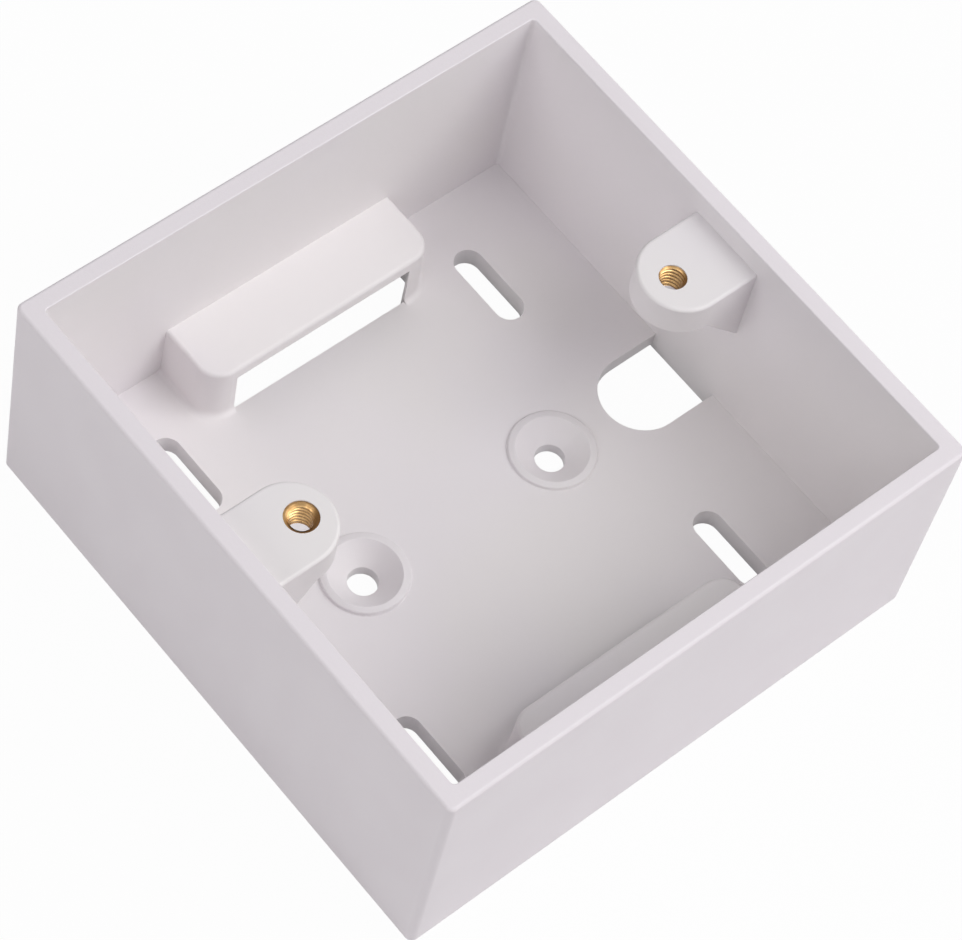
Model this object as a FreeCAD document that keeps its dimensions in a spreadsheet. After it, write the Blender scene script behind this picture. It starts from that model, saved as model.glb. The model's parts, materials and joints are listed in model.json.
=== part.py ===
import FreeCAD, Part
import Sketcher
import os

# Surface mount back box for a jack plate: an open square ABS moulding with two brass screw
# inserts. Millimetres. The box lies on its back: the back is at Z = 0 and the open side looks
# up (+Z). The two screw bosses stand on the left (-X) and right (+X) walls, and the two
# cable-entry hoods on the front (-Y) and rear (+Y) walls.

SIZES = [
    ("box_length", 84.0, "outside, along X"),
    ("box_width", 84.0, "outside, along Y"),
    ("box_height", 37.4, "back to rim"),
    ("wall", 2.6, "side walls"),
    ("corner_radius", 1.0, "upright outside corners"),
    ("inner_corner_radius", 0.6, "upright inside corners"),
    ("rim_round", 0.5, "outside edge of the rim"),
    ("rim_inner_round", 0.2, "inside edge of the rim"),
    ("floor_thickness", 2.4, "floor of the box"),
    ("back_recess", 1.9, "back to the underside of the floor"),
    ("skirt_wall", 2.0, "walls behind the floor"),
    ("hood_length", 37.7, "cable-entry hood, along its wall, at the floor"),
    ("hood_depth", 10.15, "wall to the front of the hood, at the floor"),
    ("hood_rise", 9.3, "floor to the top of the hood"),
    ("hood_draft", 1.5, "degrees, sides of the hood"),
    ("hood_shelf", 2.0, "thickness of the hood's roof"),
    ("hood_wall", 1.1, "thickness of the hood's front and ends"),
    ("hood_corner_radius", 3.6, "upright outside corners of the hood"),
    ("hood_window", 28.9, "width of the opening in the hood's front"),
    ("hood_jamb_bevel", 0.7, "inside, at both ends of the hood's opening"),
    ("hood_round", 0.6, "top edges of the hood"),
    ("hood_foot_round", 0.9, "hood to floor"),
    ("screw_spacing", 60.3, "centres of the cover screws"),
    ("boss_width", 12.0, "screw boss, along its wall"),
    ("boss_nose_offset", 4.4, "screw centre to the tip of the boss"),
    ("boss_drop", 3.5, "rim to the top of the boss"),
    ("boss_thickness", 5.0, "at the nose"),
    ("boss_round", 0.5, "top edge of the boss"),
    ("corbel_rise", 9.0, "sloping support under the boss"),
    ("opening_width", 11.7, "floor opening below a boss"),
    ("insert_diameter", 5.0, "brass insert"),
    ("insert_length", 4.6, "brass insert"),
    ("insert_waist_diameter", 4.3, "groove that the plastic locks into"),
    ("insert_waist_length", 1.0, "groove that the plastic locks into"),
    ("insert_bore", 3.24, "minor diameter of the M4 thread"),
    ("insert_mouth", 4.5, "countersunk ends of the thread"),
    ("insert_skin", 0.2, "plastic over the face of an insert"),
    ("left_mouth", 4.6, "hole in the plastic over the left insert"),
    ("right_mouth", 3.75, "hole in the plastic over the right insert"),
    ("insert_clearance", 4.6, "hole in the plastic under an insert"),
    ("knurl_depth", 0.16, "straight knurl of the insert"),
    ("knurl_teeth", 24, "straight knurl of the insert"),
    ("pad_spacing", 31.9, "centres of the countersunk screw holes"),
    ("pad_diameter", 12.0, "raised ring around a screw hole"),
    ("pad_rise", 0.5, "ring above the floor"),
    ("pad_round", 0.22, "top edge of the ring"),
    ("pad_foot_round", 0.18, "ring to floor"),
    ("pad_foot", 0.6, "back to the collar of a screw hole"),
    ("pad_hole", 4.2, "screw hole"),
    ("pad_countersink", 10.0, "screw hole at the top of the ring"),
    ("slot_spacing_x", 51.4, "centre lines of the slots"),
    ("slot_spacing_y", 49.6, "middles of the slots"),
    ("slot_length", 12.65, "slot, along Y"),
    ("slot_width", 4.25, "slot"),
    ("slot_lip", 1.5, "collar around a slot"),
    ("slot_foot", 1.0, "back to the collar of a slot"),
]
COUNTERSINK_ANGLE = 100


class Size:
    """A length, known both as a number and as the formula that binds it to the sheet."""

    def __init__(self, value, formula):
        self.value = value
        self.formula = formula

    def __add__(self, other):
        return Size(self.value + other.value, "(%s + %s)" % (self.formula, other.formula))

    def __sub__(self, other):
        return Size(self.value - other.value, "(%s - %s)" % (self.formula, other.formula))

    def __truediv__(self, divisor):
        return Size(self.value / divisor, "(%s / %s)" % (self.formula, divisor))

    def __neg__(self):
        return Size(-self.value, "(-1 * %s)" % self.formula)


ZERO = Size(0.0, "0 mm")


def make_sheet(doc):
    """Writes the driving sizes to the sheet and returns them by name."""
    sheet = doc.addObject("Spreadsheet::Sheet", "Sizes")
    sizes = {}
    for row, (alias, value, note) in enumerate(SIZES, start=1):
        sheet.set("A%d" % row, alias)
        sheet.set("B%d" % row, str(value))
        sheet.set("C%d" % row, note)
        sheet.setAlias("B%d" % row, alias)
        sizes[alias] = Size(value, "Sizes.%s * 1 mm" % alias)
    doc.recompute()
    return sizes


# Sketches


def origin_part(body, role):
    return next(item for item in body.Origin.OriginFeatures if item.Role == role)


def new_sketch(body, name, plane, height=ZERO):
    """A sketch on one of the body's own planes, moved along the plane's normal by height."""
    sketch = body.newObject("Sketcher::SketchObject", name)
    sketch.AttachmentSupport = [(origin_part(body, plane), "")]
    sketch.MapMode = "FlatFace"
    sketch.setExpression("AttachmentOffset.Base.z", height.formula)
    return sketch


def bind_distance(sketch, kind, ends, length):
    row = sketch.addConstraint(Sketcher.Constraint(kind, *ends, length.value))
    sketch.setExpression("Constraints[%d]" % row, length.formula)


def bind_point(sketch, axis, geometry, vertex, place):
    """Ties the X or the Y of a point to a size, measured from the sketch's origin."""
    if place is ZERO:
        line = {"X": -2, "Y": -1}[axis]
        sketch.addConstraint(Sketcher.Constraint("PointOnObject", geometry, vertex, line))
    elif place.value > 0:
        bind_distance(sketch, "Distance" + axis, (-1, 1, geometry, vertex), place)
    else:
        bind_distance(sketch, "Distance" + axis, (geometry, vertex, -1, 1), -place)


def draw_polygon(sketch, corners):
    """A closed outline of straight lines, from the X and Y of each corner."""
    points = [FreeCAD.Vector(x.value, y.value, 0) for x, y in corners]
    first = sketch.GeometryCount
    for start, end in zip(points, points[1:] + points[:1]):
        sketch.addGeometry(Part.LineSegment(start, end))
    for index, (x, y) in enumerate(corners):
        following = first + (index + 1) % len(corners)
        sketch.addConstraint(Sketcher.Constraint("Coincident", first + index, 2, following, 1))
        bind_point(sketch, "X", first + index, 1, x)
        bind_point(sketch, "Y", first + index, 1, y)


def draw_square_outline(sketch, corners):
    """A closed outline of lines along X and Y, from the X, Y and rounding of each corner."""
    points = [FreeCAD.Vector(x.value, y.value, 0) for x, y, rounding in corners]
    roundings = [rounding for x, y, rounding in corners]
    count = len(points)
    lines = []
    for index, point in enumerate(points):
        following = (index + 1) % count
        along = (points[following] - point).normalize()
        start = point + along * roundings[index].value
        end = points[following] - along * roundings[following].value
        lines.append(sketch.addGeometry(Part.LineSegment(start, end)))
        level = abs(along.y) < 0.5
        sketch.addConstraint(Sketcher.Constraint("Horizontal" if level else "Vertical", lines[-1]))
        bind_point(sketch, "Y" if level else "X", lines[-1], 1, corners[index][1 if level else 0])
    for index, rounding in enumerate(roundings):
        before, after = lines[index - 1], lines[index]
        if rounding is ZERO:
            sketch.addConstraint(Sketcher.Constraint("Coincident", before, 2, after, 1))
            continue
        start = sketch.Geometry[before].EndPoint
        end = sketch.Geometry[after].StartPoint
        corner = points[index]
        centre = start + end - corner
        middle = centre + (corner - centre).normalize() * rounding.value
        arc = sketch.addGeometry(Part.Arc(start, middle, end))
        forward = (sketch.Geometry[arc].StartPoint - start).Length < rounding.value / 10
        arc_start, arc_end = (1, 2) if forward else (2, 1)
        sketch.addConstraint(Sketcher.Constraint("Tangent", before, 2, arc, arc_start))
        sketch.addConstraint(Sketcher.Constraint("Tangent", arc, arc_end, after, 1))
        bind_distance(sketch, "Radius", (arc,), rounding)


def draw_rectangle(sketch, half_length, half_width, rounding):
    draw_square_outline(sketch, [
        (-half_length, -half_width, rounding),
        (half_length, -half_width, rounding),
        (half_length, half_width, rounding),
        (-half_length, half_width, rounding),
    ])


def draw_circle(sketch, x, radius):
    """A circle on the X axis."""
    circle = sketch.addGeometry(
        Part.Circle(FreeCAD.Vector(x.value, 0, 0), FreeCAD.Vector(0, 0, 1), radius.value)
    )
    bind_point(sketch, "X", circle, 3, x)
    bind_point(sketch, "Y", circle, 3, ZERO)
    bind_distance(sketch, "Radius", (circle,), radius)


def draw_tongue(sketch, tip, root, half_width):
    """A tongue along X with a full round nose: tip and root are its ends, tip the smaller."""
    nose, half = tip.value + half_width.value, half_width.value
    vector = FreeCAD.Vector
    upper = sketch.addGeometry(Part.LineSegment(vector(root.value, half, 0), vector(nose, half, 0)))
    round_nose = sketch.addGeometry(
        Part.Arc(vector(nose, half, 0), vector(tip.value, 0, 0), vector(nose, -half, 0))
    )
    lower = sketch.addGeometry(
        Part.LineSegment(vector(nose, -half, 0), vector(root.value, -half, 0))
    )
    end = sketch.addGeometry(
        Part.LineSegment(vector(root.value, -half, 0), vector(root.value, half, 0))
    )
    sketch.addConstraint(Sketcher.Constraint("Horizontal", upper))
    sketch.addConstraint(Sketcher.Constraint("Horizontal", lower))
    sketch.addConstraint(Sketcher.Constraint("Vertical", end))
    sketch.addConstraint(Sketcher.Constraint("Tangent", upper, 2, round_nose, 1))
    sketch.addConstraint(Sketcher.Constraint("Tangent", round_nose, 2, lower, 1))
    sketch.addConstraint(Sketcher.Constraint("Coincident", lower, 2, end, 1))
    sketch.addConstraint(Sketcher.Constraint("Coincident", end, 2, upper, 1))
    bind_point(sketch, "Y", round_nose, 3, ZERO)
    bind_point(sketch, "X", round_nose, 3, tip + half_width)
    bind_distance(sketch, "Radius", (round_nose,), half_width)
    bind_point(sketch, "X", end, 1, root)


def draw_slot(sketch, x, y, half_travel, radius):
    """A slot along Y with round ends, about the point x, y."""
    vector = FreeCAD.Vector
    middle, reach, r = vector(x.value, y.value, 0), half_travel.value, radius.value
    corners = [middle + vector(*offset, 0) for offset in
               ((r, -reach), (r, reach), (-r, reach), (-r, -reach))]
    right = sketch.addGeometry(Part.LineSegment(corners[0], corners[1]))
    top = sketch.addGeometry(Part.Arc(corners[1], middle + vector(0, reach + r, 0), corners[2]))
    left = sketch.addGeometry(Part.LineSegment(corners[2], corners[3]))
    base = sketch.addGeometry(Part.Arc(corners[3], middle - vector(0, reach + r, 0), corners[0]))
    for before, after in ((right, top), (top, left), (left, base), (base, right)):
        sketch.addConstraint(Sketcher.Constraint("Tangent", before, 2, after, 1))
    sketch.addConstraint(Sketcher.Constraint("Vertical", right))
    bind_distance(sketch, "Radius", (top,), radius)
    bind_point(sketch, "X", top, 3, x)
    bind_point(sketch, "Y", top, 3, y + half_travel)
    bind_point(sketch, "Y", base, 3, y - half_travel)


# Features


def bind_property(feature, name, size):
    feature.setExpression(name, size.formula)


def add_pad(body, name, sketch, length, symmetric=False):
    pad = body.newObject("PartDesign::Pad", name)
    pad.Profile = sketch
    bind_property(pad, "Length", length)
    pad.SideType = "Symmetric" if symmetric else "One side"
    return pad


def add_pocket(body, name, sketch, depth, upward=False):
    """A pocket down from its sketch, or up from it."""
    pocket = body.newObject("PartDesign::Pocket", name)
    pocket.Profile = sketch
    pocket.Reversed = upward
    bind_property(pocket, "Length", depth)
    return pocket


def add_mirrored(body, name, originals, plane):
    mirrored = body.newObject("PartDesign::Mirrored", name)
    mirrored.Originals = originals
    mirrored.MirrorPlane = (origin_part(body, plane), [""])
    body.Tip = mirrored
    return mirrored


def edges_where(shape, test):
    """Names of the edges whose middle passes the test."""
    names = []
    for index, edge in enumerate(shape.Edges, start=1):
        middle = edge.valueAt((edge.FirstParameter + edge.LastParameter) / 2)
        if test(middle):
            names.append("Edge%d" % index)
    return names


def dress_edges(body, kind, name, base, size, test):
    """A fillet or a chamfer on the edges of the base that pass the test."""
    body.Document.recompute()
    dressing = body.newObject("PartDesign::" + kind, name)
    dressing.Base = (base, edges_where(base.Shape, test))
    bind_property(dressing, "Radius" if kind == "Fillet" else "Size", size)
    body.Tip = dressing
    return dressing


def near(value, size):
    return abs(value - size.value) < 1e-4


# The moulded shell


def add_walls(body, sizes):
    """The block, its cavity, and the shallow recess behind the floor."""
    half_length, half_width = sizes["box_length"] / 2, sizes["box_width"] / 2
    outline = new_sketch(body, "BlockOutline", "XY_Plane")
    draw_rectangle(outline, half_length, half_width, sizes["corner_radius"])
    add_pad(body, "Block", outline, sizes["box_height"])

    cavity = new_sketch(body, "CavityOutline", "XY_Plane", sizes["box_height"])
    wall = sizes["wall"]
    draw_rectangle(cavity, half_length - wall, half_width - wall, sizes["inner_corner_radius"])
    add_pocket(body, "Cavity", cavity, sizes["box_height"] - sizes["floor_level"])

    recess = new_sketch(body, "RecessOutline", "XY_Plane")
    skirt = sizes["skirt_wall"]
    draw_rectangle(recess, half_length - skirt, half_width - skirt, sizes["inner_corner_radius"])
    add_pocket(body, "BackRecess", recess, sizes["back_recess"], upward=True)


def add_hoods(body, sizes):
    """The rear cable-entry hood, open at the front and through the floor, and its mirror."""
    wall_face = sizes["box_width"] / 2 - sizes["wall"]
    half_length = sizes["hood_length"] / 2
    front = wall_face - sizes["hood_depth"]
    root = wall_face + sizes["wall"] / 2
    radius = sizes["hood_corner_radius"]
    outline = new_sketch(body, "HoodOutline", "XY_Plane", sizes["floor_level"])
    draw_square_outline(outline, [
        (-half_length, front, radius),
        (half_length, front, radius),
        (half_length, root, ZERO),
        (-half_length, root, ZERO),
    ])
    hood = add_pad(body, "Hood", outline, sizes["hood_rise"])
    hood.setExpression("TaperAngle", "-1 deg * Sizes.hood_draft")

    window = sizes["hood_window"] / 2
    inside = half_length - sizes["hood_wall"]
    inner_front = front + sizes["hood_wall"]
    inner_radius = radius - sizes["hood_wall"]
    hollow = new_sketch(body, "HoodHollowOutline", "XY_Plane")
    draw_square_outline(hollow, [
        (-window, front, ZERO),
        (window, front, ZERO),
        (window, inner_front, ZERO),
        (inside, inner_front, inner_radius),
        (inside, wall_face, ZERO),
        (-inside, wall_face, ZERO),
        (-inside, inner_front, inner_radius),
        (-window, inner_front, ZERO),
    ])
    roof = sizes["floor_level"] + sizes["hood_rise"] - sizes["hood_shelf"]
    cut = add_pocket(body, "HoodHollow", hollow, roof, upward=True)
    add_mirrored(body, "HoodPair", [hood, cut], "XZ_Plane")


def add_bosses(body, sizes):
    """The right screw boss on its sloping corbel, the opening below it, and their mirror."""
    wall_face = sizes["box_length"] / 2 - sizes["wall"]
    root = wall_face + sizes["wall"] / 2
    tip = sizes["screw_spacing"] / 2 - sizes["boss_nose_offset"]
    outline = new_sketch(body, "BossOutline", "XY_Plane", sizes["boss_underside"])
    draw_tongue(outline, tip, root, sizes["boss_width"] / 2)
    boss = add_pad(body, "Boss", outline, sizes["boss_thickness"])

    nose_centre = tip + sizes["boss_width"] / 2
    side = new_sketch(body, "CorbelSide", "XZ_Plane")
    draw_polygon(side, [
        (nose_centre, sizes["boss_underside"]),
        (root, sizes["boss_underside"]),
        (root, sizes["boss_underside"] - sizes["corbel_rise"]),
        (wall_face, sizes["boss_underside"] - sizes["corbel_rise"]),
    ])
    corbel = add_pad(body, "Corbel", side, sizes["boss_width"], symmetric=True)

    opening = new_sketch(body, "OpeningOutline", "XY_Plane")
    draw_tongue(opening, tip, wall_face, sizes["opening_width"] / 2)
    cut = add_pocket(body, "FloorOpening", opening, sizes["floor_level"], upward=True)
    add_mirrored(body, "BossPair", [boss, corbel, cut], "YZ_Plane")


def add_screw_pads(body, sizes):
    """Two countersunk screw holes, each in a raised ring with a collar behind the floor."""
    centre = sizes["pad_spacing"] / 2
    outline = new_sketch(body, "PadOutline", "XY_Plane", sizes["pad_foot"])
    draw_circle(outline, centre, sizes["pad_diameter"] / 2)
    ring_top = sizes["floor_level"] + sizes["pad_rise"]
    pad = add_pad(body, "ScrewPad", outline, ring_top - sizes["pad_foot"])

    hole_centre = new_sketch(body, "PadHoleCentre", "XY_Plane", ring_top)
    draw_circle(hole_centre, centre, sizes["pad_hole"] / 2)
    body.Document.recompute()
    hole = body.newObject("PartDesign::Hole", "ScrewHole")
    hole.Profile = hole_centre
    hole.DepthType = "ThroughAll"
    hole.HoleCutType = "Countersink"
    hole.HoleCutCustomValues = True
    hole.HoleCutCountersinkAngle = COUNTERSINK_ANGLE
    bind_property(hole, "Diameter", sizes["pad_hole"])
    bind_property(hole, "HoleCutDiameter", sizes["pad_countersink"])
    add_mirrored(body, "ScrewPadPair", [pad, hole], "YZ_Plane")


def add_slots(body, sizes):
    """Four mounting slots along Y, each with a collar behind the floor."""
    half_travel = (sizes["slot_length"] - sizes["slot_width"]) / 2
    radius = sizes["slot_width"] / 2
    x, y = sizes["slot_spacing_x"] / 2, sizes["slot_spacing_y"] / 2
    places = [(-x, -y), (x, -y), (x, y), (-x, y)]
    collars = new_sketch(body, "SlotCollarOutline", "XY_Plane", sizes["slot_foot"])
    slots = new_sketch(body, "SlotOutline", "XY_Plane")
    for place in places:
        draw_slot(collars, *place, half_travel, radius + sizes["slot_lip"])
        draw_slot(slots, *place, half_travel, radius)
    add_pad(body, "SlotCollars", collars, sizes["back_recess"] - sizes["slot_foot"])
    add_pocket(body, "Slots", slots, sizes["floor_level"], upward=True)


def insert_levels(sizes):
    """Levels of an insert's bottom, of both edges of its waist and of its top."""
    top = sizes["boss_top"] - sizes["insert_skin"]
    bottom = top - sizes["insert_length"]
    waist = (top + bottom) / 2
    half_waist = sizes["insert_waist_length"] / 2
    return bottom, waist - half_waist, waist + half_waist, top


def add_insert_seat(body, name, sizes, side, mouth_diameter):
    """The hole that holds an insert: it follows the insert's waist and lets a screw past."""
    centre = sizes["screw_spacing"] / 2
    outer = sizes["insert_diameter"] / 2
    waist = sizes["insert_waist_diameter"] / 2
    mouth = mouth_diameter / 2
    past = sizes["insert_clearance"] / 2
    bottom, waist_low, waist_high, top = insert_levels(sizes)
    below = sizes["boss_underside"] - sizes["insert_clearance"]
    above = sizes["boss_top"]
    steps = [
        (past, below), (past, bottom), (outer, bottom), (outer, waist_low),
        (waist, waist_low), (waist, waist_high), (outer, waist_high), (outer, top),
        (mouth, top), (mouth, above), (ZERO, above), (ZERO, below),
    ]
    profile = new_sketch(body, name + "Profile", "XZ_Plane")
    draw_polygon(profile, [
        (centre + x, z) if side > 0 else (-centre - x, z) for x, z in steps
    ])
    axis_line = profile.GeometryCount - 2
    seat = body.newObject("PartDesign::Groove", name)
    seat.Profile = profile
    seat.ReferenceAxis = (profile, ["Edge%d" % (axis_line + 1)])
    seat.Angle = 360
    return seat


def add_roundings(body, base, sizes):
    """The softened edges of the rim, the hoods, the bosses and the raised rings."""
    half_length, half_width = sizes["box_length"] / 2, sizes["box_width"] / 2
    inner_length, inner_width = half_length - sizes["wall"], half_width - sizes["wall"]
    hood_top = sizes["floor_level"] + sizes["hood_rise"]
    hood_front = inner_width - sizes["hood_depth"]
    half_hood, window = sizes["hood_length"] / 2, sizes["hood_window"] / 2
    ring_top = sizes["floor_level"] + sizes["pad_rise"]
    countersink = sizes["pad_countersink"] / 2
    pad_centre, ring = sizes["pad_spacing"] / 2, sizes["pad_diameter"] / 2
    screw_centre = sizes["screw_spacing"] / 2

    def at_rim(point):
        return near(point.z, sizes["box_height"])

    def inside_wall(point):
        return (abs(point.x) < inner_length.value + 1e-4
                and abs(point.y) < inner_width.value + 1e-4)

    def on_hood_top(point):
        return near(point.z, hood_top) and abs(point.y) < inner_width.value - 1e-4

    def on_jamb(point):
        return near(abs(point.x), window) and near(abs(point.y), hood_front + sizes["hood_wall"])

    def at_hood_foot(point):
        return (near(point.z, sizes["floor_level"])
                and window.value < abs(point.x) < half_hood.value + 1e-4
                and hood_front.value - 1e-4 < abs(point.y) < inner_width.value - 1e-4)

    def on_boss_top(point):
        from_screw = abs(abs(point.x) - screw_centre.value)
        return (near(point.z, sizes["boss_top"]) and abs(point.x) < inner_length.value - 1e-4
                and (from_screw ** 2 + point.y ** 2) ** 0.5 > sizes["insert_diameter"].value / 2)

    def from_screw_hole(point):
        return ((abs(point.x) - pad_centre.value) ** 2 + point.y ** 2) ** 0.5

    def on_ring_top(point):
        return near(point.z, ring_top) and from_screw_hole(point) > countersink.value + 1e-4

    def at_ring_foot(point):
        return near(point.z, sizes["floor_level"]) and near(from_screw_hole(point), ring)

    for kind, name, size, test in (
            ("Fillet", "RimRound", "rim_round",
             lambda point: at_rim(point) and not inside_wall(point)),
            ("Fillet", "RimInnerRound", "rim_inner_round",
             lambda point: at_rim(point) and inside_wall(point)),
            ("Chamfer", "HoodJambBevel", "hood_jamb_bevel", on_jamb),
            ("Fillet", "HoodRound", "hood_round", on_hood_top),
            ("Fillet", "HoodFootRound", "hood_foot_round", at_hood_foot),
            ("Fillet", "BossRound", "boss_round", on_boss_top),
            ("Fillet", "RingRound", "pad_round", on_ring_top),
            ("Fillet", "RingFootRound", "pad_foot_round", at_ring_foot)):
        base = dress_edges(body, kind, name, base, sizes[size], test)


def make_shell(doc, sizes):
    body = doc.addObject("PartDesign::Body", "back_box_shell")
    add_walls(body, sizes)
    add_hoods(body, sizes)
    add_bosses(body, sizes)
    add_screw_pads(body, sizes)
    add_slots(body, sizes)
    add_insert_seat(body, "LeftSeat", sizes, -1, sizes["left_mouth"])
    seat = add_insert_seat(body, "RightSeat", sizes, 1, sizes["right_mouth"])
    add_roundings(body, seat, sizes)
    return body


# The brass inserts


def make_insert(doc, label, sizes, side):
    """A brass insert with a countersunk bore, a waist and a straight knurl."""
    body = doc.addObject("PartDesign::Body", label)
    outer, waist = sizes["insert_diameter"] / 2, sizes["insert_waist_diameter"] / 2
    bore, mouth = sizes["insert_bore"] / 2, sizes["insert_mouth"] / 2
    bottom, waist_low, waist_high, top = insert_levels(sizes)
    profile = new_sketch(body, "InsertProfile", "XZ_Plane")
    bevel = mouth - bore
    draw_polygon(profile, [
        (mouth, bottom), (outer, bottom), (outer, waist_low), (waist, waist_low),
        (waist, waist_high), (outer, waist_high), (outer, top), (mouth, top),
        (bore, top - bevel), (bore, bottom + bevel),
    ])
    turned = body.newObject("PartDesign::Revolution", "Turned")
    turned.Profile = profile
    turned.ReferenceAxis = (origin_part(body, "Z_Axis"), [""])
    turned.Angle = 360

    groove = new_sketch(body, "KnurlGroove", "XY_Plane", bottom)
    depth = sizes["knurl_depth"]
    draw_polygon(groove, [
        (outer - depth, ZERO), (outer + depth, -(depth + depth)), (outer + depth, depth + depth),
    ])
    cut = add_pocket(body, "KnurlCut", groove, sizes["insert_length"], upward=True)
    knurl = body.newObject("PartDesign::PolarPattern", "Knurl")
    knurl.Originals = [cut]
    knurl.Axis = (origin_part(body, "Z_Axis"), [""])
    knurl.Angle = 360
    knurl.setExpression("Occurrences", "Sizes.knurl_teeth")
    body.Tip = knurl
    centre = sizes["screw_spacing"] / 2
    body.setExpression("Placement.Base.x", (centre if side > 0 else -centre).formula)
    return body


def add_levels(sizes):
    """Heights above the back that several features share."""
    sizes["floor_level"] = sizes["back_recess"] + sizes["floor_thickness"]
    sizes["boss_top"] = sizes["box_height"] - sizes["boss_drop"]
    sizes["boss_underside"] = sizes["boss_top"] - sizes["boss_thickness"]


def check(doc, bodies):
    for item in doc.Objects:
        if "Invalid" in item.State or "Error" in item.State:
            raise RuntimeError("%s failed: %s" % (item.Name, item.State))
    for body in bodies:
        if body.Shape.isNull() or not body.Shape.isValid():
            raise RuntimeError("%s has no valid shape" % body.Label)
        if len(body.Shape.Solids) != 1:
            raise RuntimeError("%s has %d solids" % (body.Label, len(body.Shape.Solids)))


def main():
    doc = FreeCAD.newDocument("BackBox")
    sizes = make_sheet(doc)
    add_levels(sizes)
    bodies = [
        make_shell(doc, sizes),
        make_insert(doc, "left_screw_insert", sizes, -1),
        make_insert(doc, "right_screw_insert", sizes, 1),
    ]
    doc.recompute()
    check(doc, bodies)
    os.makedirs("parts", exist_ok=True)
    for body in bodies:
        body.Shape.exportStep(os.path.join("parts", body.Label + ".step"))
        box = body.Shape.BoundBox
        print("%s: %.0f mm3, %.2f x %.2f x %.2f mm" % (
            body.Label, body.Shape.Volume, box.XLength, box.YLength, box.ZLength))


main()
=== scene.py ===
import json
from math import cos, radians, sin, tan

import bpy
from mathutils import Matrix, Vector


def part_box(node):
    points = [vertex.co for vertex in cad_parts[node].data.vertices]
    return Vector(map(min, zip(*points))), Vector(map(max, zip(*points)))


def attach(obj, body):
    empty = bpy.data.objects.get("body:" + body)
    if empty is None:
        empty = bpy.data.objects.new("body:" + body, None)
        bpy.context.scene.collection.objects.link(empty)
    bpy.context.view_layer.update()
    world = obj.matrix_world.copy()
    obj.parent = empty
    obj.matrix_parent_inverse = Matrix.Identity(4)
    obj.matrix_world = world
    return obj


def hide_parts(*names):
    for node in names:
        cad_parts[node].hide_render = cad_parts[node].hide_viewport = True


# Looks of the surface mount back box: a matt ABS moulding and two turned brass screw inserts.
# Everything is in metres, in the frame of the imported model.

MM = 0.001

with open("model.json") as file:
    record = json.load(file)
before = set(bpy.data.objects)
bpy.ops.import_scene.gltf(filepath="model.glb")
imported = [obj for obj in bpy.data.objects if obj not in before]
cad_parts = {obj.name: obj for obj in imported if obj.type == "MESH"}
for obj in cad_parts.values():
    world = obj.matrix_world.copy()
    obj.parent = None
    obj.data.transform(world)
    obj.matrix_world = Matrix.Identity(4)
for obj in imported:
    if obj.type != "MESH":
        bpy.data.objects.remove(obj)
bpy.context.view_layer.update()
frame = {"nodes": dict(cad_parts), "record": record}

BODY = "root"
BOX_LOW, BOX_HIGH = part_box("back_box_shell")
INSERTS = ("left_screw_insert", "right_screw_insert")


def mount_distance(name):
    """Half the spacing of a pair of holes, from the record."""
    mount = next(mount for mount in frame["record"]["mounts"] if mount["name"] == name)
    return mount["dims"]["spacing_x_mm"] / 2 * MM


# The raised screw pads, whose shading slopes from a brow down to a foot.
SCREW_PAD_DISTANCE = mount_distance("wall_screws")
SCREW_PAD_BROW = 4.9 * MM
SCREW_PAD_FOOT = 6.2 * MM
SCREW_PAD_DROP = 0.25 * MM

# The rim's grain ends just below its top, and the painted light on the outer walls just behind
# their faces.
RIM_DEPTH = 0.25 * MM
RIM_FADE = 0.2 * MM
OUTSIDE_START = BOX_HIGH.x - 0.8 * MM
OUTSIDE_END = BOX_HIGH.x - 0.4 * MM

# The brass inserts: an M4 thread in a knurled sleeve with a locking groove.
SCREW_DISTANCE = mount_distance("cover_screws")
THREAD_PITCH = 0.7 * MM
THREAD_MAJOR_RADIUS = 2.0 * MM
THREAD_MINOR_RADIUS = 1.62 * MM
MOUTH_RADIUS = 2.0 * MM
MOUTH_DEPTH = 0.3 * MM
THREAD_HALF_ANGLE = radians(30)
THREAD_STEPS = 64
THREAD_RUN_OUT = 1.5  # turns past each end
THREAD_OVERLAP = 0.1 * MM
WAIST_RADIUS = 2.15 * MM
WAIST_LENGTH = 1.0 * MM
KNURL_TEETH = 24
KNURL_STEPS = 4  # points along each tooth
KNURL_DEPTH = 0.16 * MM
CHAMFER = 0.15 * MM
SMOOTH_ANGLE = radians(28)

# Painted shade in the inserts, which grows from the rear side to the front one.
INSERT_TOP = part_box("left_screw_insert")[1].z
MOUTH_FADE = 0.05 * MM
PAINTED_SHADE_START = 0.9 * MM
PAINTED_SHADE_END = -0.9 * MM

# Base colours of the finishes.
ABS_TINTS = ((0.860, 0.824, 0.848), (0.866, 0.834, 0.840))
# Painted light: the outer walls' colour, lighter and more lilac than the same ABS inside.
ABS_OUTSIDE_PAINTED_LIGHT = (0.886, 0.828, 0.864)
ABS_RIM = (0.848, 0.798, 0.838)
BRASS_BRIGHT = (0.74, 0.48, 0.22)
BRASS_DULL = (0.58, 0.35, 0.145)
# Painted shade for one side of each insert.
BRASS_SIDE_SHADE = (0.17, 0.085, 0.03)
# Painted shade for the thread's grooves.
BRASS_GROOVE_SHADE = (0.14, 0.07, 0.028)

# The stage: a floor just below the box, and the light of the room around it.
FLOOR_SIZE = 12
FLOOR_GAP = 0.05 * MM
FLOOR_COLOUR = (0.62, 0.62, 0.63)
FLOOR_WHITENESS = 0.97  # share of plain white that the camera sees
ROOM_LIGHT = 0.247
LAMP_DISTANCE = 1.2
LAMP_SIZE = 0.9

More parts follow.
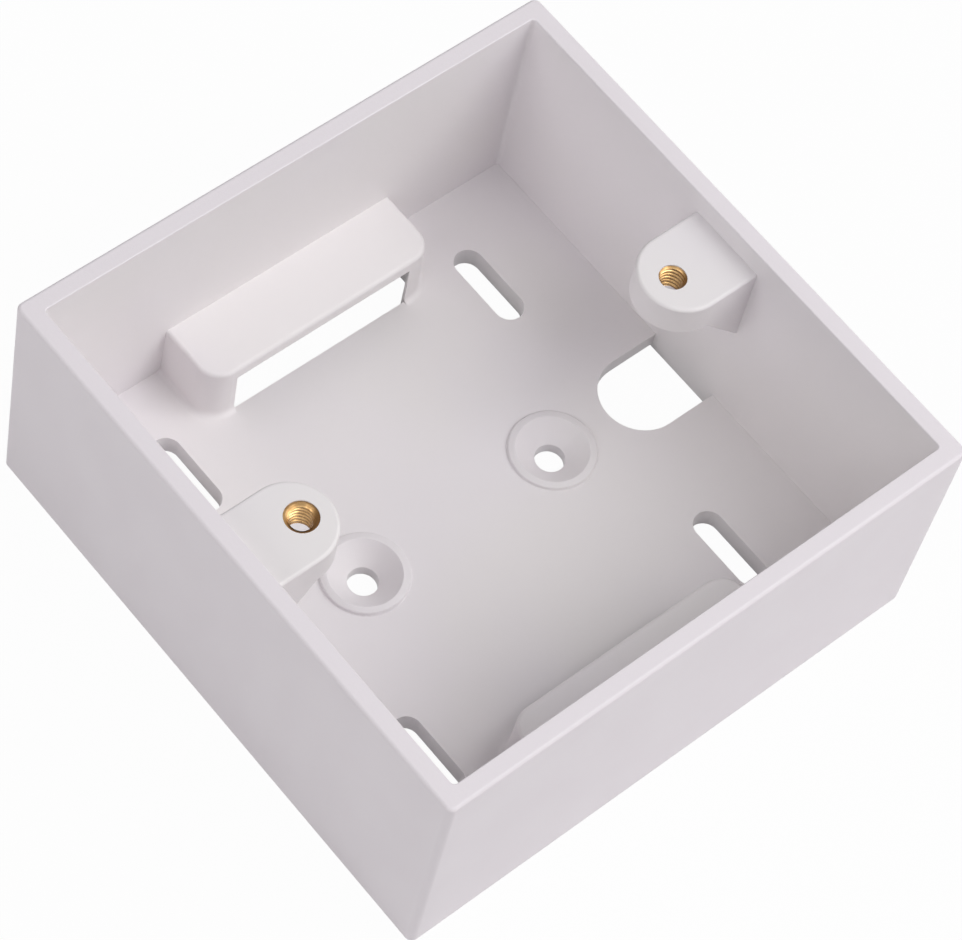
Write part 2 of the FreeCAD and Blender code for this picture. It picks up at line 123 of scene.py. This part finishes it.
# Camera: where it looks, from which side, and how far it is turned about its own axis.
CAMERA_TARGET = Vector((-0.16 * MM, -1.84 * MM, 17.75 * MM))
CAMERA_DISTANCE = 0.4983
CAMERA_AZIMUTH = -53.284
CAMERA_ELEVATION = 58.676
CAMERA_ROLL = radians(15.673)
CAMERA_LENS = 147.15
CAMERA_SHIFT = (-0.0013, 0.0006)


# Working with meshes


def deselect():
    if bpy.context.object and bpy.context.object.mode != "OBJECT":
        bpy.ops.object.mode_set(mode="OBJECT")
    bpy.ops.object.select_all(action="DESELECT")


def activate(piece):
    deselect()
    piece.select_set(True)
    bpy.context.view_layer.objects.active = piece


def apply_modifiers(piece):
    activate(piece)
    for modifier in list(piece.modifiers):
        bpy.ops.object.modifier_apply(modifier=modifier.name)


def apply_place(piece):
    """Puts the piece's place and turn into its mesh, so that its object sits at the origin."""
    activate(piece)
    bpy.ops.object.transform_apply(location=True, rotation=True, scale=True)


# The brass inserts


def turned_sleeve(name, profile, centre, sides):
    """A closed ring about the upright line through centre, from a profile of radii and heights."""
    deselect()
    first_radius, first_height = profile[0]
    bpy.ops.mesh.primitive_circle_add(
        vertices=sides, radius=first_radius, location=(centre.x, centre.y, first_height)
    )
    sleeve = bpy.context.object
    sleeve.name = name
    bpy.ops.object.mode_set(mode="EDIT")
    bpy.ops.mesh.select_mode(type="VERT")
    bpy.ops.mesh.select_all(action="SELECT")
    radius, height = first_radius, first_height
    for next_radius, next_height in profile[1:] + profile[:1]:
        bpy.ops.mesh.extrude_region_move(
            TRANSFORM_OT_translate={"value": (0, 0, next_height - height)}
        )
        ratio = next_radius / radius
        bpy.ops.transform.resize(
            value=(ratio, ratio, 1), center_override=(centre.x, centre.y, next_height)
        )
        radius, height = next_radius, next_height
    bpy.ops.mesh.select_all(action="SELECT")
    bpy.ops.mesh.remove_doubles(threshold=0.001 * MM)
    bpy.ops.mesh.normals_make_consistent(inside=False)
    bpy.ops.object.mode_set(mode="OBJECT")
    return sleeve


def cut_knurl(sleeve, centre, outer_radius):
    """Draws one upright row of points in every tooth's width towards the axis."""
    bpy.ops.object.mode_set(mode="EDIT")
    bpy.ops.mesh.select_mode(type="VERT")
    bpy.ops.mesh.select_all(action="DESELECT")
    bpy.ops.object.mode_set(mode="OBJECT")
    inner_limit = outer_radius - 1.2 * CHAMFER
    for vertex in sleeve.data.vertices:
        offset = Vector((vertex.co.x, vertex.co.y, 0))
        turn = Vector((1, 0, 0)).angle(offset) if offset.length else 0
        tooth = (turn * KNURL_TEETH / radians(360)) % 1
        vertex.select = offset.length > inner_limit and abs(tooth - 0.5) < 0.5 / KNURL_STEPS
    bpy.ops.object.mode_set(mode="EDIT")
    ratio = 1 - KNURL_DEPTH / outer_radius
    bpy.ops.transform.resize(value=(ratio, ratio, 1), center_override=centre)
    bpy.ops.object.mode_set(mode="OBJECT")


def thread_cutter(centre, bottom, top):
    """A solid helical ridge with the section of the thread groove."""
    deselect()
    turns = int((top - bottom) / THREAD_PITCH) + round(2 * THREAD_RUN_OUT)
    root_radius = THREAD_MINOR_RADIUS - THREAD_OVERLAP
    half_height = (THREAD_MAJOR_RADIUS - root_radius) * tan(THREAD_HALF_ANGLE)
    bpy.ops.mesh.primitive_circle_add(
        vertices=3, radius=1, rotation=(radians(90), 0, radians(-90)), location=(0, 0, 0)
    )
    ridge = bpy.context.object
    apply_place(ridge)
    corners = [
        (THREAD_MAJOR_RADIUS, 0, 0),
        (root_radius, 0, half_height),
        (root_radius, 0, -half_height),
    ]
    for vertex, corner in zip(ridge.data.vertices, corners):
        vertex.co = corner
    screw = ridge.modifiers.new("Thread", "SCREW")
    screw.axis = "Z"
    screw.screw_offset = THREAD_PITCH
    screw.iterations = turns
    screw.steps = screw.render_steps = THREAD_STEPS
    screw.use_smooth_shade = False
    apply_modifiers(ridge)
    bpy.ops.object.mode_set(mode="EDIT")
    bpy.ops.mesh.select_mode(type="EDGE")
    bpy.ops.mesh.select_all(action="DESELECT")
    bpy.ops.mesh.select_non_manifold()
    bpy.ops.mesh.fill_holes(sides=3)
    bpy.ops.mesh.select_all(action="SELECT")
    bpy.ops.mesh.normals_make_consistent(inside=False)
    bpy.ops.object.mode_set(mode="OBJECT")
    ridge.location = (centre.x, centre.y, bottom - THREAD_RUN_OUT * THREAD_PITCH)
    apply_place(ridge)
    return ridge


def make_insert(node, material):
    low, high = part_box(node)
    centre = (low + high) / 2
    bottom, top = low.z, high.z
    outer = (high.x - low.x) / 2
    waist_low = centre.z - WAIST_LENGTH / 2
    waist_high = centre.z + WAIST_LENGTH / 2
    sleeve = turned_sleeve("threaded_" + node, [
        (MOUTH_RADIUS, bottom), (outer - CHAMFER, bottom), (outer, bottom + CHAMFER),
        (outer, waist_low), (WAIST_RADIUS, waist_low), (WAIST_RADIUS, waist_high),
        (outer, waist_high), (outer, top - CHAMFER), (outer - CHAMFER, top),
        (MOUTH_RADIUS, top), (THREAD_MINOR_RADIUS, top - MOUTH_DEPTH),
        (THREAD_MINOR_RADIUS, bottom + MOUTH_DEPTH),
    ], centre, KNURL_TEETH * KNURL_STEPS)
    cut_knurl(sleeve, centre, outer)
    cutter = thread_cutter(centre, bottom, top)
    thread = sleeve.modifiers.new("Thread", "BOOLEAN")
    thread.operation = "DIFFERENCE"
    thread.solver = "EXACT"
    thread.object = cutter
    apply_modifiers(sleeve)
    bpy.data.objects.remove(cutter)
    apply_place(sleeve)
    bpy.ops.object.shade_smooth_by_angle(angle=SMOOTH_ANGLE)
    sleeve.data.materials.clear()
    sleeve.data.materials.append(material)
    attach(sleeve, BODY)
    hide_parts(node)
    return sleeve


# Materials


def new_group(name, inputs, outputs):
    """An empty shader node group with number inputs (name, value) and outputs (name, type)."""
    group = bpy.data.node_groups.new(name, "ShaderNodeTree")
    for label, value in inputs:
        socket = group.interface.new_socket(label, in_out="INPUT", socket_type="NodeSocketFloat")
        socket.default_value = value
    for label, kind in outputs:
        group.interface.new_socket(label, in_out="OUTPUT", socket_type=kind)
    return group, group.nodes.new("NodeGroupInput"), group.nodes.new("NodeGroupOutput")


def math_node(tree, operation, first, second):
    node = tree.nodes.new("ShaderNodeMath")
    node.operation = operation
    for socket, value in zip(node.inputs, (first, second)):
        if isinstance(value, (int, float)):
            socket.default_value = value
        else:
            tree.links.new(value, socket)
    return node.outputs["Value"]


def noise_node(tree, vector, scale, detail=2.0, roughness=0.5):
    node = tree.nodes.new("ShaderNodeTexNoise")
    node.inputs["Detail"].default_value = detail
    node.inputs["Roughness"].default_value = roughness
    tree.links.new(vector, node.inputs["Vector"])
    if isinstance(scale, (int, float)):
        node.inputs["Scale"].default_value = scale
    else:
        tree.links.new(scale, node.inputs["Scale"])
    return node.outputs["Fac"]


def object_coordinates(tree):
    return tree.nodes.new("ShaderNodeTexCoord").outputs["Object"]


def split_coordinates(tree):
    """The X, Y and Z outputs of the object coordinates."""
    split = tree.nodes.new("ShaderNodeSeparateXYZ")
    tree.links.new(object_coordinates(tree), split.inputs["Vector"])
    return split.outputs


def range_node(tree, value, from_low, from_high, to_low=0.0, to_high=1.0):
    node = tree.nodes.new("ShaderNodeMapRange")
    tree.links.new(value, node.inputs["Value"])
    node.inputs["From Min"].default_value = from_low
    node.inputs["From Max"].default_value = from_high
    node.inputs["To Min"].default_value = to_low
    node.inputs["To Max"].default_value = to_high
    return node.outputs["Result"]


def smooth_step(tree, value, low, high):
    """0 up to the low socket's value and 1 from the high one's, with a soft way between."""
    ramp = tree.nodes.new("ShaderNodeMapRange")
    ramp.interpolation_type = "SMOOTHSTEP"
    tree.links.new(value, ramp.inputs["Value"])
    tree.links.new(low, ramp.inputs["From Min"])
    tree.links.new(high, ramp.inputs["From Max"])
    return ramp.outputs["Result"]


def moulded_grain_group():
    """Fine spark-eroded grain over a slow unevenness, as a height."""
    group, given, result = new_group(
        "moulded_grain",
        [("Grain Scale", 6000.0), ("Grain", 1.0), ("Unevenness", 1.0)],
        [("Height", "NodeSocketFloat")],
    )
    place = object_coordinates(group)
    grain = noise_node(group, place, given.outputs["Grain Scale"], detail=3.0)
    slow = noise_node(group, place, 90.0, detail=1.0)
    grain = math_node(group, "MULTIPLY", grain, given.outputs["Grain"])
    slow = math_node(group, "MULTIPLY", slow, given.outputs["Unevenness"])
    group.links.new(math_node(group, "ADD", grain, slow), result.inputs["Height"])
    return group


def cloudy_mask_group():
    """A soft mask of slow clouds, from 0 to 1."""
    group, given, result = new_group(
        "cloudy_mask", [("Scale", 40.0), ("Low", 0.4), ("High", 0.6)], [("Mask", "NodeSocketFloat")]
    )
    clouds = noise_node(group, object_coordinates(group), given.outputs["Scale"])
    mask = smooth_step(group, clouds, given.outputs["Low"], given.outputs["High"])
    group.links.new(mask, result.inputs["Mask"])
    return group


def level_mask_group():
    """1 above a height in the object and 0 below it, with a soft step."""
    group, given, result = new_group(
        "level_mask", [("Height", 0.0), ("Softness", 0.0002)], [("Mask", "NodeSocketFloat")]
    )
    height = split_coordinates(group)["Z"]
    above = math_node(group, "SUBTRACT", height, given.outputs["Height"])
    share = math_node(group, "DIVIDE", above, given.outputs["Softness"])
    clamp = group.nodes.new("ShaderNodeClamp")
    group.links.new(share, clamp.inputs["Value"])
    group.links.new(clamp.outputs["Result"], result.inputs["Mask"])
    return group


def radius_mask_group():
    """0 within the near radius and 1 beyond the far one, about two upright lines in X."""
    group, given, result = new_group(
        "radius_mask", [("Distance", 0.03), ("Near", 0.0016), ("Far", 0.002)],
        [("Mask", "NodeSocketFloat")],
    )
    place = split_coordinates(group)
    beside = math_node(group, "ABSOLUTE", place["X"], 0.0)
    beside = math_node(group, "SUBTRACT", beside, given.outputs["Distance"])
    squares = math_node(
        group, "ADD",
        math_node(group, "MULTIPLY", beside, beside),
        math_node(group, "MULTIPLY", place["Y"], place["Y"]),
    )
    radius = math_node(group, "SQRT", squares, 0.0)
    mask = smooth_step(group, radius, given.outputs["Near"], given.outputs["Far"])
    group.links.new(mask, result.inputs["Mask"])
    return group


def place_group(tree, group, **values):
    node = tree.nodes.new("ShaderNodeGroup")
    node.node_tree = group
    for label, value in values.items():
        node.inputs[label.replace("_", " ")].default_value = value
    return node.outputs[0]


def new_material(name):
    material = bpy.data.materials.new(name)
    material.use_nodes = True
    tree = material.node_tree
    return material, tree, tree.nodes["Principled BSDF"]


def mix_colours(tree, factor, first, second):
    node = tree.nodes.new("ShaderNodeMix")
    node.data_type = "RGBA"
    tree.links.new(factor, node.inputs["Factor"])
    for socket, colour in ((node.inputs[6], first), (node.inputs[7], second)):
        if isinstance(colour, tuple):
            socket.default_value = (*colour, 1.0)
        else:
            tree.links.new(colour, socket)
    return node.outputs[2]


def add_bump(tree, height, strength, distance, normal=None):
    bump = tree.nodes.new("ShaderNodeBump")
    if normal:
        tree.links.new(normal, bump.inputs["Normal"])
    bump.inputs["Strength"].default_value = strength
    bump.inputs["Distance"].default_value = distance
    tree.links.new(height, bump.inputs["Height"])
    return bump.outputs["Normal"]


def abs_plastic(grain, clouds, level, around):
    """Pale matt ABS: fine grain, coarser on the rim, faint clouds, and softened screw pads.

    The outer faces of the walls are painted lighter and more lilac, as painted light.
    """
    material, tree, shader = new_material("shell_abs_plastic")
    shader.inputs["Specular IOR Level"].default_value = 0.4
    rim = place_group(tree, level, Height=BOX_HIGH.z - RIM_DEPTH, Softness=RIM_FADE)
    tint = place_group(tree, clouds, Scale=35.0, Low=0.35, High=0.65)
    body = mix_colours(tree, tint, *ABS_TINTS)
    place = split_coordinates(tree)
    across = math_node(tree, "ABSOLUTE", place["X"], 0.0)
    along = math_node(tree, "ABSOLUTE", place["Y"], 0.0)
    farthest = math_node(tree, "MAXIMUM", across, along)
    # Painted light: the outer faces of the walls are lighter and more lilac than the inside.
    painted_light_outside = range_node(tree, farthest, OUTSIDE_START, OUTSIDE_END)
    body = mix_colours(tree, painted_light_outside, body, ABS_OUTSIDE_PAINTED_LIGHT)
    colour = mix_colours(tree, rim, body, ABS_RIM)
    tree.links.new(colour, shader.inputs["Base Color"])
    polish = place_group(tree, clouds, Scale=120.0, Low=0.3, High=0.7)
    rough = range_node(tree, polish, 0.0, 1.0, 0.42, 0.52)
    tree.links.new(rough, shader.inputs["Roughness"])
    fine = place_group(tree, grain, Grain_Scale=7000.0, Grain=0.6, Unevenness=2.0)
    coarse = place_group(tree, grain, Grain_Scale=3200.0, Grain=3.2, Unevenness=0.0)
    coarse_at_rim = math_node(tree, "MULTIPLY", coarse, rim)
    height = math_node(tree, "ADD", fine, coarse_at_rim)
    flank = place_group(
        tree, around, Distance=SCREW_PAD_DISTANCE, Near=SCREW_PAD_BROW, Far=SCREW_PAD_FOOT
    )
    softened = add_bump(tree, math_node(tree, "SUBTRACT", 1.0, flank), 1.0, SCREW_PAD_DROP)
    normal = add_bump(tree, height, 0.35, 0.02 * MM, softened)
    tree.links.new(normal, shader.inputs["Normal"])
    return material


def turned_brass(grain, clouds, level, around):
    """Turned brass, darkened to one side by painted shade, with painted shade dark in the thread's
    grooves.
    """
    material, tree, shader = new_material("insert_turned_brass")
    shader.inputs["Metallic"].default_value = 1.0
    patches = place_group(tree, clouds, Scale=900.0, Low=0.35, High=0.7)
    bare = mix_colours(tree, patches, BRASS_BRIGHT, BRASS_DULL)
    # Painted shade: the brass darkens from the rear side to the front one.
    side_shade = range_node(tree, split_coordinates(tree)["Y"], PAINTED_SHADE_START, PAINTED_SHADE_END)
    bare = mix_colours(tree, side_shade, bare, BRASS_SIDE_SHADE)
    # Painted shade dark in the thread's grooves, at a little over half strength in the mouth.
    depth = place_group(
        tree, around, Distance=SCREW_DISTANCE,
        Near=THREAD_MINOR_RADIUS, Far=THREAD_MAJOR_RADIUS - 0.16 * MM,
    )
    mouth = place_group(tree, level, Height=INSERT_TOP - MOUTH_DEPTH, Softness=MOUTH_FADE)
    groove = math_node(tree, "MULTIPLY", depth, range_node(tree, mouth, 0.0, 1.0, 1.0, 0.55))
    colour = mix_colours(tree, groove, bare, BRASS_GROOVE_SHADE)
    tree.links.new(colour, shader.inputs["Base Color"])
    tree.links.new(range_node(tree, patches, 0.0, 1.0, 0.22, 0.36), shader.inputs["Roughness"])
    marks = place_group(tree, grain, Grain_Scale=9000.0, Grain=1.0, Unevenness=0.0)
    tree.links.new(add_bump(tree, marks, 0.3, 0.01 * MM), shader.inputs["Normal"])
    return material


# The stage


def seen_directly(tree):
    """1 for the camera, reflections and rays through glass, and 0 for light on the object."""
    path = tree.nodes.new("ShaderNodeLightPath")
    camera, glossy = path.outputs["Is Camera Ray"], path.outputs["Is Glossy Ray"]
    direct = math_node(tree, "MAXIMUM", camera, glossy)
    return math_node(tree, "MAXIMUM", direct, path.outputs["Is Transmission Ray"])


def stage_floor():
    """A plain pale floor that is seen almost white and keeps a faint shadow."""
    deselect()
    bpy.ops.mesh.primitive_plane_add(size=FLOOR_SIZE, location=(0, 0, BOX_LOW.z - FLOOR_GAP))
    floor = bpy.context.object
    floor.name = "stage_floor"
    material, tree, shader = new_material("stage_floor_white")
    shader.inputs["Base Color"].default_value = (*FLOOR_COLOUR, 1)
    shader.inputs["Roughness"].default_value = 0.9
    shader.inputs["Specular IOR Level"].default_value = 0.0
    glow = tree.nodes.new("ShaderNodeEmission")
    glow.inputs["Color"].default_value = (1, 1, 1, 1)
    blend = tree.nodes.new("ShaderNodeMixShader")
    share = math_node(tree, "MULTIPLY", seen_directly(tree), FLOOR_WHITENESS)
    tree.links.new(share, blend.inputs["Fac"])
    tree.links.new(shader.outputs["BSDF"], blend.inputs[1])
    tree.links.new(glow.outputs["Emission"], blend.inputs[2])
    tree.links.new(blend.outputs["Shader"], tree.nodes["Material Output"].inputs["Surface"])
    floor.data.materials.append(material)


def studio_world():
    """Even light of the room, which is white where it is seen directly."""
    world = bpy.data.worlds.new("studio")
    bpy.context.scene.world = world
    world.use_nodes = True
    tree = world.node_tree
    background = tree.nodes["Background"]
    background.inputs["Color"].default_value = (1, 1, 1, 1)
    strength = range_node(tree, seen_directly(tree), 0.0, 1.0, ROOM_LIGHT, 1.0)
    tree.links.new(strength, background.inputs["Strength"])


def direction_from(azimuth, elevation):
    """The direction towards a viewpoint: azimuth 0 is the front, and 90 the right."""
    a, e = radians(azimuth), radians(elevation)
    return Vector((sin(a) * cos(e), -cos(a) * cos(e), sin(e)))


def soft_lamp(name, azimuth, elevation, power):
    """A large square lamp that faces the box from a direction given in degrees."""
    direction = direction_from(azimuth, elevation)
    deselect()
    bpy.ops.object.light_add(type="AREA", location=direction * LAMP_DISTANCE)
    lamp = bpy.context.object
    lamp.name = name
    lamp.rotation_euler = direction.to_track_quat("Z", "Y").to_euler()
    lamp.data.shape = "SQUARE"
    lamp.data.size = LAMP_SIZE
    lamp.data.energy = power
    return lamp


def place_camera():
    direction = direction_from(CAMERA_AZIMUTH, CAMERA_ELEVATION)
    deselect()
    bpy.ops.object.camera_add()
    camera = bpy.context.object
    turn = direction.to_track_quat("Z", "Y").to_matrix().to_4x4()
    roll = Matrix.Rotation(CAMERA_ROLL, 4, "Z")
    place = Matrix.Translation(CAMERA_TARGET + direction * CAMERA_DISTANCE)
    camera.matrix_world = place @ turn @ roll
    camera.data.lens = CAMERA_LENS
    camera.data.sensor_width = 36
    camera.data.shift_x, camera.data.shift_y = CAMERA_SHIFT
    camera.data.clip_start = 0.01
    bpy.context.scene.camera = camera


grain = moulded_grain_group()
clouds = cloudy_mask_group()
level = level_mask_group()
around = radius_mask_group()

shell = frame["nodes"]["back_box_shell"]
shell.data.materials.clear()
shell.data.materials.append(abs_plastic(grain, clouds, level, around))
brass = turned_brass(grain, clouds, level, around)
for insert in INSERTS:
    make_insert(insert, brass)

stage_floor()
studio_world()
soft_lamp("key_lamp", azimuth=35, elevation=55, power=7.8)
soft_lamp("side_lamp", azimuth=65, elevation=30, power=3.3)
soft_lamp("fill_lamp", azimuth=-90, elevation=30, power=4.2)
place_camera()
bpy.context.scene.view_settings.view_transform = "Standard"
